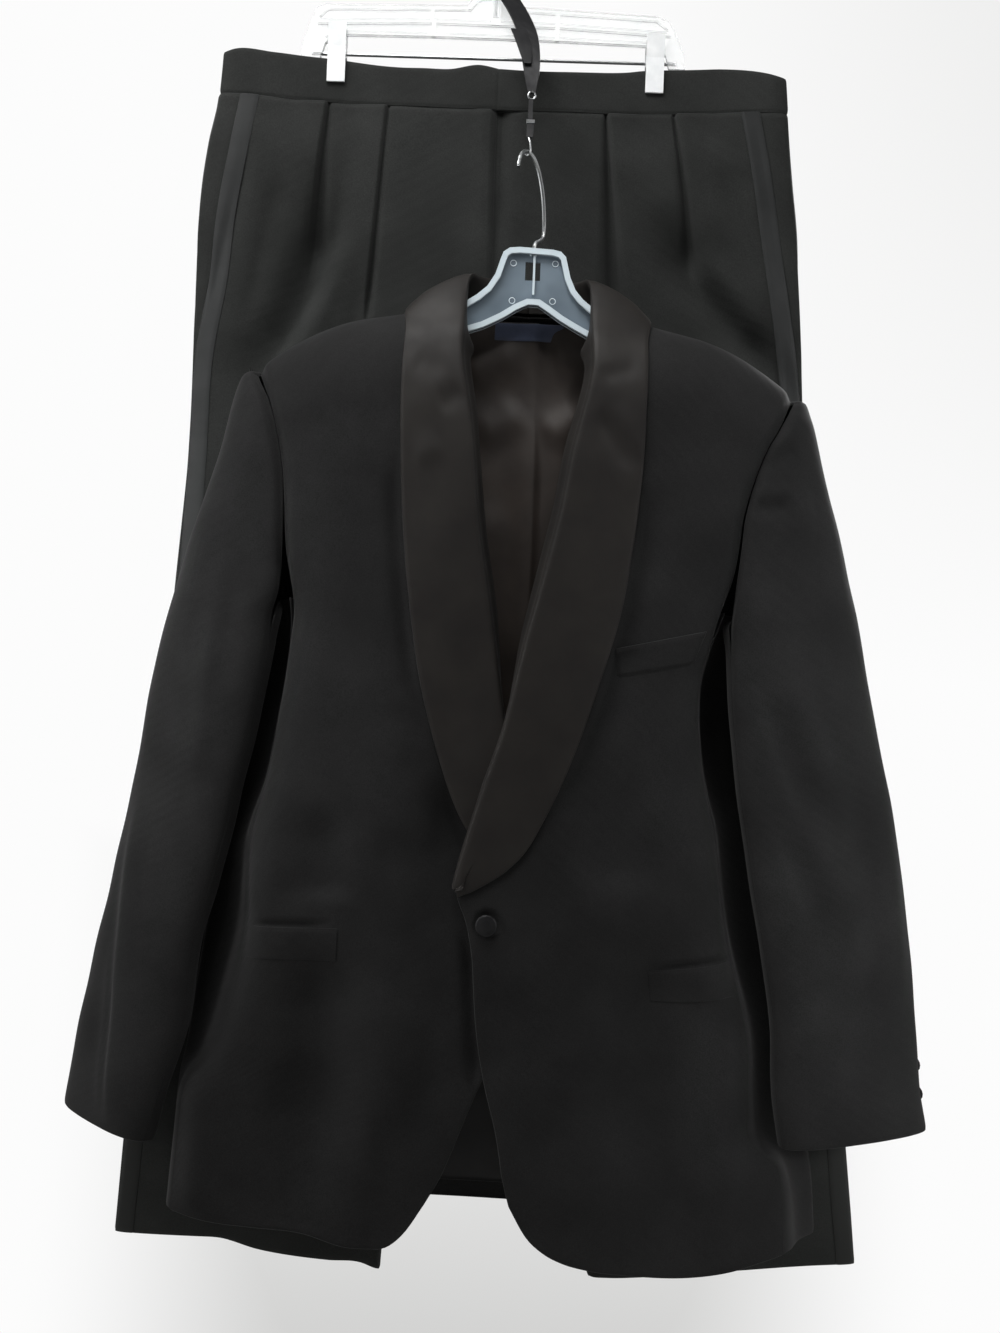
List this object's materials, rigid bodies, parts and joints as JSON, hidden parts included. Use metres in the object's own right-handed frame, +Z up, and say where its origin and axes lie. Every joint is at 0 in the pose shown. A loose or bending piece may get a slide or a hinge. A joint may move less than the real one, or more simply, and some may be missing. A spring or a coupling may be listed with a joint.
{
  "type": "shawl collar tuxedo jacket and pleated trousers on hangers",
  "caption": "Black tuxedo: a single-button shawl-collar jacket on a moulded hanger, hung by a satin strap in front of pleated trousers on a clip hanger.",
  "frame": {"origin": "inner top of the clip hanger's wire hook, where it rests on a rail", "axes": "+Z up, -Y towards the front of the jacket, +X to the right of a viewer facing the front"},
  "size_m": [0.7792, 0.1428, 1.2734],
  "materials": {
    "black_wool": "fine matte worsted",
    "black_satin": "satin with a soft sheen",
    "lining_satin": "smooth lining with a sheen",
    "label_cloth": "woven, matte",
    "smoked_plastic": "glossy, slightly see-through",
    "clear_plastic": "clear and glossy",
    "milky_plastic": "milky, half clear",
    "zinc_plated_wire": "bright zinc plate"
  },
  "bodies": {
    "root": {"jacket_front_left": "black_wool", "jacket_front_right": "black_wool", "jacket_side_left": "black_wool", "jacket_side_right": "black_wool", "jacket_back_left": "black_wool", "jacket_back_right": "black_wool", "sleeve_top_left": "black_wool", "sleeve_top_right": "black_wool", "sleeve_under_left": "black_wool", "sleeve_under_right": "black_wool", "shawl_collar_left": "black_satin", "shawl_collar_right": "black_satin", "back_lining": "lining_satin", "neck_label": "label_cloth", "chest_welt": "black_satin", "pocket_flap_left": "black_satin", "pocket_flap_right": "black_satin", "front_button": "black_satin", "cuff_button_left_1": "black_satin", "cuff_button_left_2": "black_satin", "cuff_button_right_1": "black_satin", "cuff_button_right_2": "black_satin", "trouser_front_left": "black_wool", "trouser_front_right": "black_wool", "trouser_back_left": "black_wool", "trouser_back_right": "black_wool", "waistband_left": "black_wool", "waistband_right": "black_wool", "side_stripe_left": "black_satin", "side_stripe_right": "black_satin", "clip_hanger": "clear_plastic", "clip_hanger_hook": "zinc_plated_wire", "clip_rod": "zinc_plated_wire", "clip_left": "milky_plastic", "clip_right": "milky_plastic", "jacket_hanger": "smoked_plastic", "jacket_hanger_hook": "zinc_plated_wire", "strap_band": "black_satin", "strap_flap": "black_satin", "strap_tape": "black_satin", "strap_end": "black_satin", "strap_ring": "zinc_plated_wire", "strap_slider": "zinc_plated_wire", "strap_clasp": "zinc_plated_wire"}
  },
  "joints": []
}
